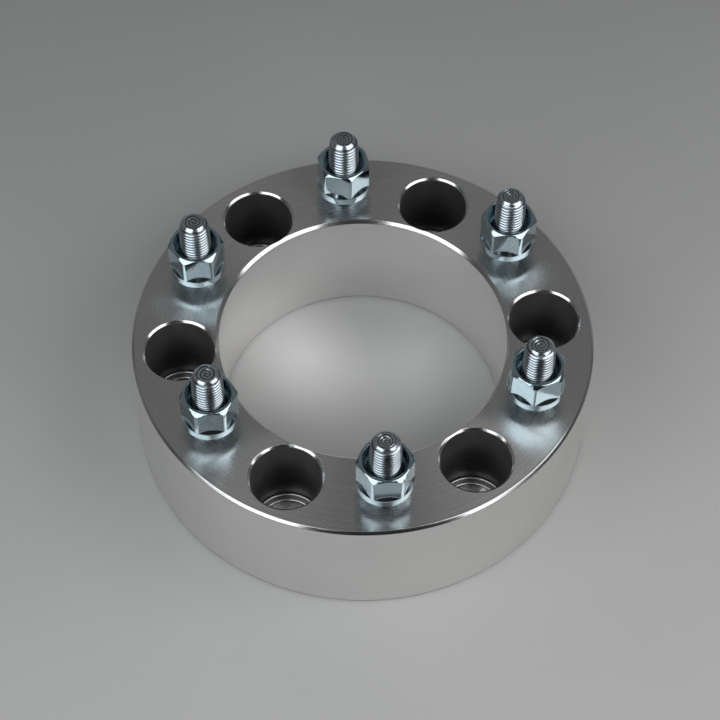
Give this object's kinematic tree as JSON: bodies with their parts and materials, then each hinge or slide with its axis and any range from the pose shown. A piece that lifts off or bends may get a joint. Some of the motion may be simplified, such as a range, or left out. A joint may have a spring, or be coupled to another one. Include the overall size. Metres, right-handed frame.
{
  "type": "wheel spacer",
  "caption": "Thick turned aluminium ring that bolts to a wheel hub through counterbored lug holes and carries its own press-in studs and lug nuts.",
  "frame": {"origin": "centre of the hub face, on the axis of the bore", "axes": "+Z along the bore axis from the hub to the wheel, +X through a lug hole"},
  "size_m": [0.176, 0.176, 0.083],
  "materials": {
    "ring_aluminium": "satin",
    "stud_zinc": "polished",
    "nut_zinc": "polished"
  },
  "bodies": {
    "root": {"spacer_ring": "ring_aluminium", "wheel_stud_1": "stud_zinc", "wheel_stud_2": "stud_zinc", "wheel_stud_3": "stud_zinc", "wheel_stud_4": "stud_zinc", "wheel_stud_5": "stud_zinc", "wheel_stud_6": "stud_zinc", "lug_nut_1": "nut_zinc", "lug_nut_2": "nut_zinc", "lug_nut_3": "nut_zinc", "lug_nut_4": "nut_zinc", "lug_nut_5": "nut_zinc", "lug_nut_6": "nut_zinc"}
  },
  "joints": []
}
